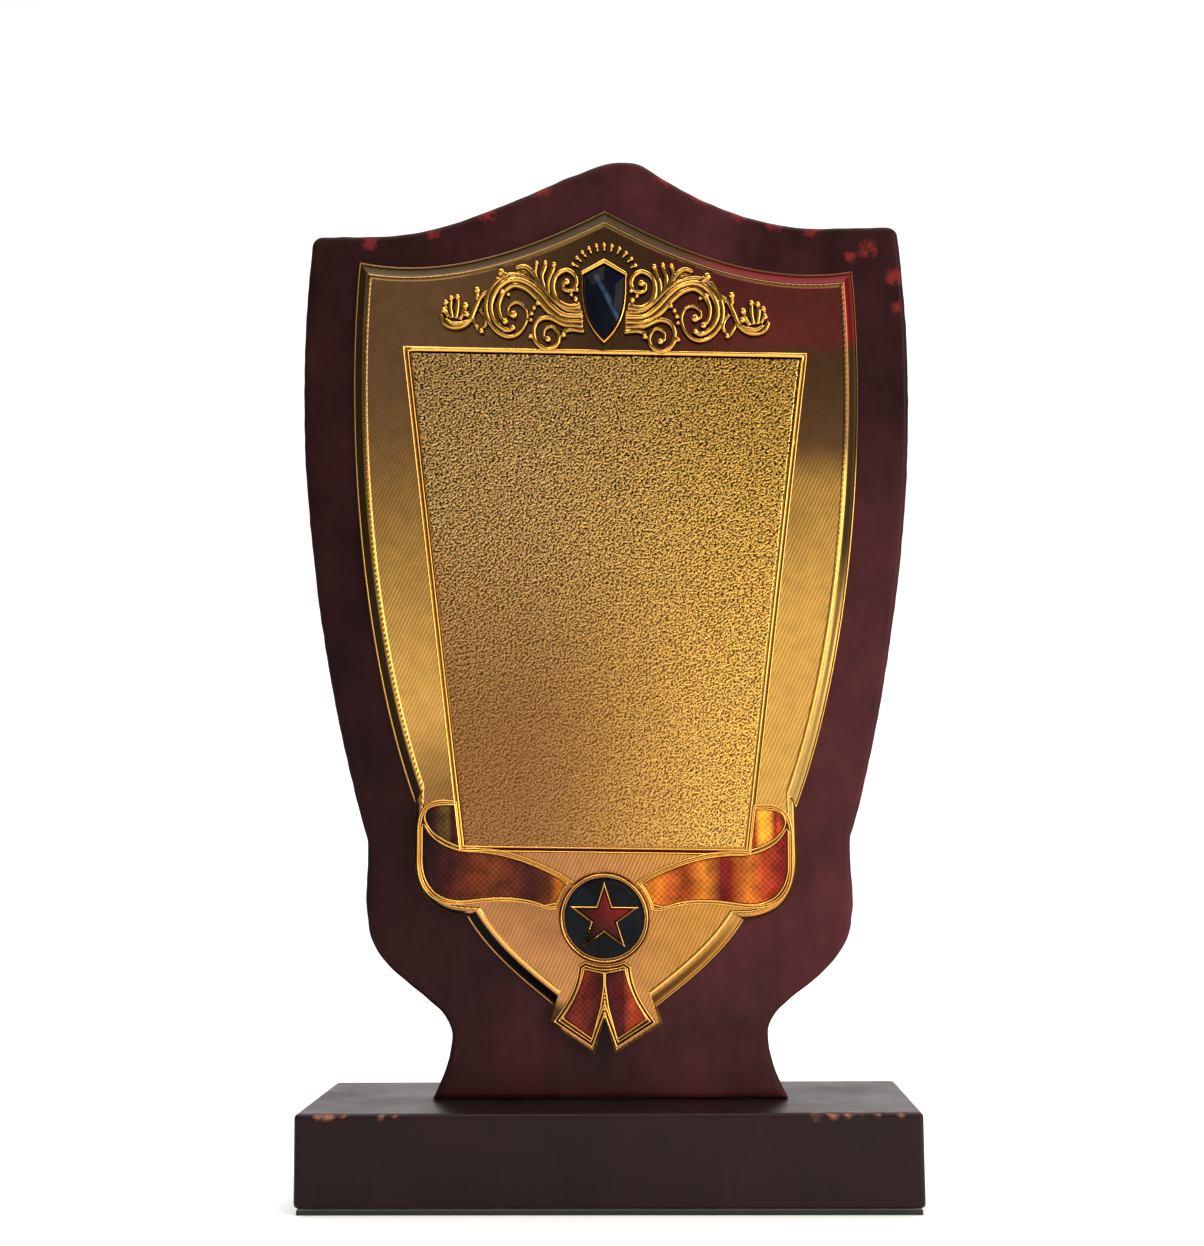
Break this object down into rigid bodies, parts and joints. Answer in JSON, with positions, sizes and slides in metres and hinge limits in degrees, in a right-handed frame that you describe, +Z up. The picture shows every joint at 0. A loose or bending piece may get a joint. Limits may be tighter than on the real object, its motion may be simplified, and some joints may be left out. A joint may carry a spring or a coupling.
{
  "type": "wooden shield plaque",
  "caption": "Shield-shaped wooden award plaque standing on a flat wooden base, with a gilt stamped front, scrolls, ribbon and star medallion.",
  "frame": {"origin": "middle of the felt's underside, on the surface that the plaque stands on", "axes": "+Z up, +X to the right of someone who faces the gilt front, +Y towards the plaque's back"},
  "size_m": [0.1334, 0.05, 0.225],
  "materials": {
    "painted_wood": "maroon-brown semi-gloss brush-painted wood, chipped along the edges",
    "felt": "dark green felt",
    "screw_steel": "zinc-plated wood screws",
    "foam_tape": "white double-sided foam tape",
    "gilt_sheet": "bright stamped gilt sheet with fine diagonal hatching",
    "gilt_trim": "polished gilt with dark recesses",
    "grained_gilt": "sand-grained gilt",
    "ribbon_enamel": "translucent red-orange lacquer over a woven check",
    "star_enamel": "translucent red lacquer",
    "black_enamel": "gloss black lacquer",
    "dark_glass": "near-black blue cut glass"
  },
  "bodies": {
    "root": {"shield_board": "painted_wood", "base_block": "painted_wood", "base_felt": "felt", "screw_left": "screw_steel", "screw_right": "screw_steel", "tape_upper": "foam_tape", "tape_lower": "foam_tape", "tape_left": "foam_tape", "tape_right": "foam_tape", "shield_sheet": "gilt_sheet", "panel_border": "gilt_trim", "text_plate": "grained_gilt", "crest_beads": "gilt_trim", "scroll_left": "gilt_trim", "scroll_right": "gilt_trim", "gem_bezel": "gilt_trim", "gem_stone": "dark_glass", "ribbon_frame_left": "gilt_trim", "ribbon_frame_right": "gilt_trim", "ribbon_band_left": "ribbon_enamel", "ribbon_band_right": "ribbon_enamel", "ribbon_fold_left": "ribbon_enamel", "ribbon_fold_right": "ribbon_enamel", "medallion_ring": "gilt_trim", "medallion_disc": "black_enamel", "star_outline": "gilt_trim", "star_enamel": "star_enamel", "tail_frame": "gilt_trim", "tail_enamel": "ribbon_enamel"}
  },
  "joints": []
}
